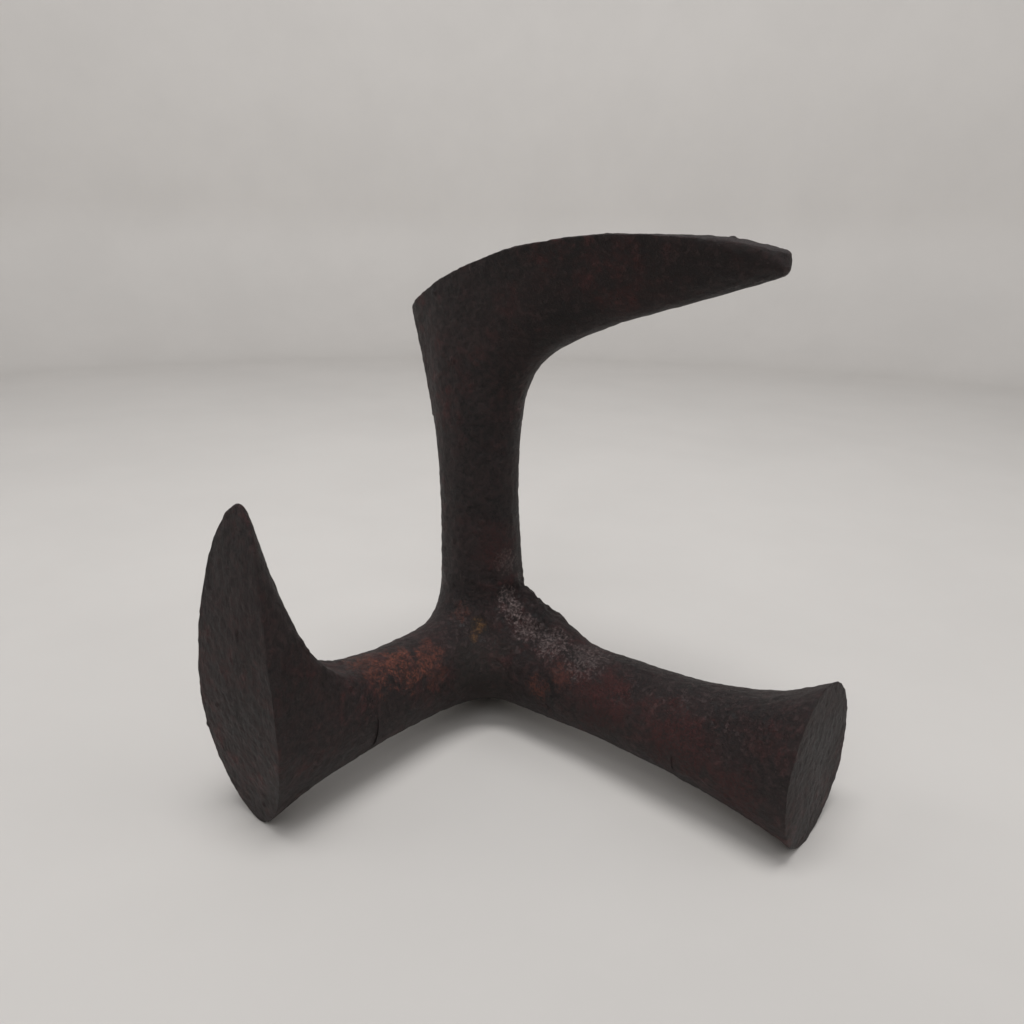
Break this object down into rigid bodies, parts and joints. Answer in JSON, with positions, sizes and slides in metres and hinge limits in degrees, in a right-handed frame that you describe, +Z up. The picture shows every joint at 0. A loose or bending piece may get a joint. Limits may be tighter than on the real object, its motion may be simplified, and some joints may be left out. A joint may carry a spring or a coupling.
{
  "type": "cobbler's shoe last",
  "caption": "Cast-iron cobbler's shoe last on three legs: an adult foot, a child's foot and a heel pad, any of which can be stood up as a shoe anvil.",
  "frame": {"origin": "on the bench, in the flat worn under the hub, under the crossing of the three leg axes", "axes": "+Z up along the upright leg that carries the adult foot, +X the heading of the heel leg, -Y the side of the child's leg"},
  "size_m": [0.2252, 0.1906, 0.2439],
  "materials": {
    "iron": "aged, dark brown-black, semi-matt with red rust patches"
  },
  "bodies": {
    "root": {"hub": "iron", "adult_leg": "iron", "adult_foot": "iron", "child_leg": "iron", "child_foot": "iron", "heel_leg": "iron", "heel_pad": "iron"}
  },
  "joints": []
}
